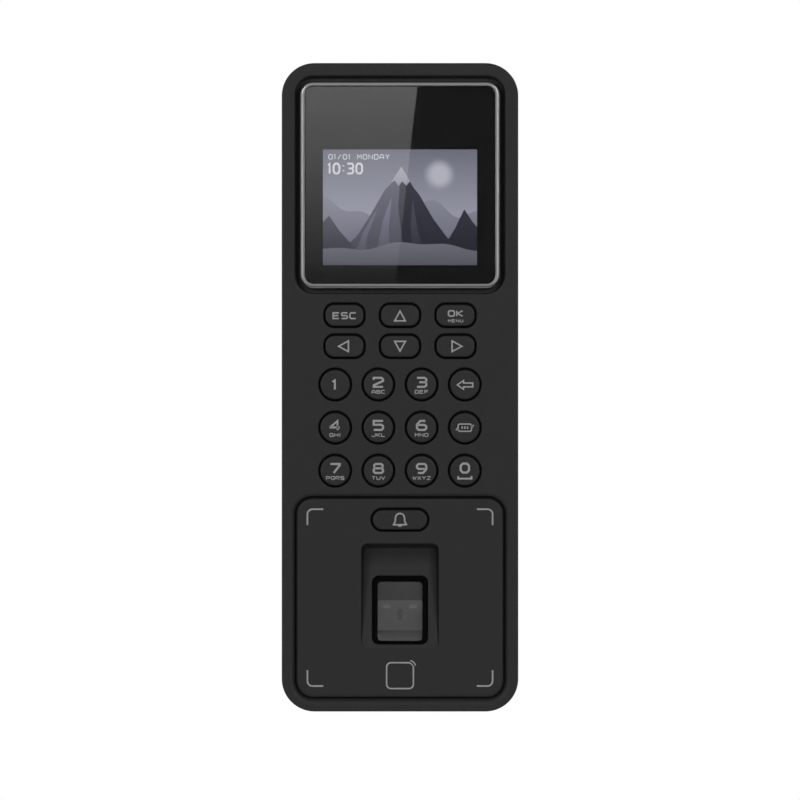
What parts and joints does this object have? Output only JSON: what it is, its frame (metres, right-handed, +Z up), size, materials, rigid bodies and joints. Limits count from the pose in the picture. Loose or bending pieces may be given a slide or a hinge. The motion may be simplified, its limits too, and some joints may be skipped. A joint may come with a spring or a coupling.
{
  "type": "fingerprint scanner terminal",
  "caption": "Tall black wall terminal with a colour display, raised round and pill-shaped keys, a doorbell key and a finger scoop over an optical sensor.",
  "frame": {"origin": "middle of the wall plate's back face, on the wall", "axes": "+Z up along the tall side, -Y out of the front towards the user, +X to the user's right"},
  "size_m": [0.075, 0.0366, 0.2056],
  "materials": {
    "case_plastic": "fine spark-eroded black ABS",
    "key_plastic": "satin black keys",
    "legend_ink": "light grey printed legends and reader marks",
    "trim_chrome": "bright satin trim frame",
    "lens_glass": "gloss display window with a black printed border",
    "display": "colour display panel",
    "prism_glass": "polished finger prism",
    "diffuser_plastic": "frosted light guide",
    "rubber": "black elastomer",
    "silicone": "grey silicone keypad mat",
    "circuit_board": "green solder mask on glass epoxy",
    "inner_plastic": "black engineering plastic",
    "steel": "nickel-plated steel",
    "zinc_steel": "zinc-plated sheet steel",
    "flex_film": "amber polyimide flat cable",
    "connector_plastic": "ivory nylon"
  },
  "bodies": {
    "case": {"antenna_board": "circuit_board", "buzzer": "inner_plastic", "case_screw_1": "steel", "case_screw_2": "steel", "case_screw_3": "steel", "case_screw_4": "steel", "case_seal": "rubber", "clock_cell": "steel", "clock_cell_holder": "inner_plastic", "display_flex": "flex_film", "display_socket": "connector_plastic", "front_housing": "case_plastic", "key_board": "circuit_board", "keypad_mat": "silicone", "lcd_bracket": "inner_plastic", "lcd_module": "display", "lens_tape": "rubber", "lock_screw": "steel", "main_board": "circuit_board", "network_header": "connector_plastic", "processor_shield": "zinc_steel", "reader_panel": "case_plastic", "rear_cover": "case_plastic", "screen_lens": "lens_glass", "screen_trim": "trim_chrome", "sensor_board": "circuit_board", "sensor_camera": "inner_plastic", "sensor_diffuser": "diffuser_plastic", "sensor_gasket": "rubber", "sensor_housing": "inner_plastic", "sensor_prism": "prism_glass", "speaker": "inner_plastic", "tamper_switch": "inner_plastic", "usb_socket": "zinc_steel", "wall_plate": "zinc_steel", "wiring_header_lower": "connector_plastic", "wiring_header_upper": "connector_plastic"},
    "escape_button": {"escape_key": "key_plastic"},
    "up_button": {"up_key": "key_plastic"},
    "enter_button": {"enter_key": "key_plastic"},
    "left_button": {"left_key": "key_plastic"},
    "down_button": {"down_key": "key_plastic"},
    "right_button": {"right_key": "key_plastic"},
    "digit_1_button": {"digit_1_key": "key_plastic"},
    "digit_2_button": {"digit_2_key": "key_plastic"},
    "digit_3_button": {"digit_3_key": "key_plastic"},
    "backspace_button": {"backspace_key": "key_plastic"},
    "digit_4_button": {"digit_4_key": "key_plastic"},
    "digit_5_button": {"digit_5_key": "key_plastic"},
    "digit_6_button": {"digit_6_key": "key_plastic"},
    "input_mode_button": {"input_mode_key": "key_plastic"},
    "digit_7_button": {"digit_7_key": "key_plastic"},
    "digit_8_button": {"digit_8_key": "key_plastic"},
    "digit_9_button": {"digit_9_key": "key_plastic"},
    "digit_0_button": {"digit_0_key": "key_plastic"},
    "doorbell_button": {"doorbell_key": "key_plastic"},
    "tamper_pin": {"tamper_plunger": "connector_plastic"},
    "usb_flap": {"usb_cover": "rubber"}
  },
  "joints": [
    {"name": "escape_key_press", "type": "slide", "parent": "case", "child": "escape_button", "axis": [0, 1, 0], "range_m": [0, 0.001], "stiffness_N_per_m": 1500, "springref_m": -0.0002},
    {"name": "up_key_press", "type": "slide", "parent": "case", "child": "up_button", "axis": [0, 1, 0], "range_m": [0, 0.001], "stiffness_N_per_m": 1500, "springref_m": -0.0002},
    {"name": "enter_key_press", "type": "slide", "parent": "case", "child": "enter_button", "axis": [0, 1, 0], "range_m": [0, 0.001], "stiffness_N_per_m": 1500, "springref_m": -0.0002},
    {"name": "left_key_press", "type": "slide", "parent": "case", "child": "left_button", "axis": [0, 1, 0], "range_m": [0, 0.001], "stiffness_N_per_m": 1500, "springref_m": -0.0002},
    {"name": "down_key_press", "type": "slide", "parent": "case", "child": "down_button", "axis": [0, 1, 0], "range_m": [0, 0.001], "stiffness_N_per_m": 1500, "springref_m": -0.0002},
    {"name": "right_key_press", "type": "slide", "parent": "case", "child": "right_button", "axis": [0, 1, 0], "range_m": [0, 0.001], "stiffness_N_per_m": 1500, "springref_m": -0.0002},
    {"name": "digit_1_key_press", "type": "slide", "parent": "case", "child": "digit_1_button", "axis": [0, 1, 0], "range_m": [0, 0.001], "stiffness_N_per_m": 1500, "springref_m": -0.0002},
    {"name": "digit_2_key_press", "type": "slide", "parent": "case", "child": "digit_2_button", "axis": [0, 1, 0], "range_m": [0, 0.001], "stiffness_N_per_m": 1500, "springref_m": -0.0002},
    {"name": "digit_3_key_press", "type": "slide", "parent": "case", "child": "digit_3_button", "axis": [0, 1, 0], "range_m": [0, 0.001], "stiffness_N_per_m": 1500, "springref_m": -0.0002},
    {"name": "backspace_key_press", "type": "slide", "parent": "case", "child": "backspace_button", "axis": [0, 1, 0], "range_m": [0, 0.001], "stiffness_N_per_m": 1500, "springref_m": -0.0002},
    {"name": "digit_4_key_press", "type": "slide", "parent": "case", "child": "digit_4_button", "axis": [0, 1, 0], "range_m": [0, 0.001], "stiffness_N_per_m": 1500, "springref_m": -0.0002},
    {"name": "digit_5_key_press", "type": "slide", "parent": "case", "child": "digit_5_button", "axis": [0, 1, 0], "range_m": [0, 0.001], "stiffness_N_per_m": 1500, "springref_m": -0.0002},
    {"name": "digit_6_key_press", "type": "slide", "parent": "case", "child": "digit_6_button", "axis": [0, 1, 0], "range_m": [0, 0.001], "stiffness_N_per_m": 1500, "springref_m": -0.0002},
    {"name": "input_mode_key_press", "type": "slide", "parent": "case", "child": "input_mode_button", "axis": [0, 1, 0], "range_m": [0, 0.001], "stiffness_N_per_m": 1500, "springref_m": -0.0002},
    {"name": "digit_7_key_press", "type": "slide", "parent": "case", "child": "digit_7_button", "axis": [0, 1, 0], "range_m": [0, 0.001], "stiffness_N_per_m": 1500, "springref_m": -0.0002},
    {"name": "digit_8_key_press", "type": "slide", "parent": "case", "child": "digit_8_button", "axis": [0, 1, 0], "range_m": [0, 0.001], "stiffness_N_per_m": 1500, "springref_m": -0.0002},
    {"name": "digit_9_key_press", "type": "slide", "parent": "case", "child": "digit_9_button", "axis": [0, 1, 0], "range_m": [0, 0.001], "stiffness_N_per_m": 1500, "springref_m": -0.0002},
    {"name": "digit_0_key_press", "type": "slide", "parent": "case", "child": "digit_0_button", "axis": [0, 1, 0], "range_m": [0, 0.001], "stiffness_N_per_m": 1500, "springref_m": -0.0002},
    {"name": "doorbell_key_press", "type": "slide", "parent": "case", "child": "doorbell_button", "axis": [0, 1, 0], "range_m": [0, 0.001], "stiffness_N_per_m": 1500, "springref_m": -0.0002},
    {"name": "tamper_release", "type": "slide", "parent": "case", "child": "tamper_pin", "axis": [0, 1, 0], "range_m": [0, 0.0015], "stiffness_N_per_m": 200, "springref_m": 0.003},
    {"name": "usb_cover_swing", "type": "hinge", "parent": "case", "child": "usb_flap", "pos_m": [-0.0071, -0.0141, -0.1021], "axis": [0, 1, 0], "range_deg": [0, 110]}
  ]
}
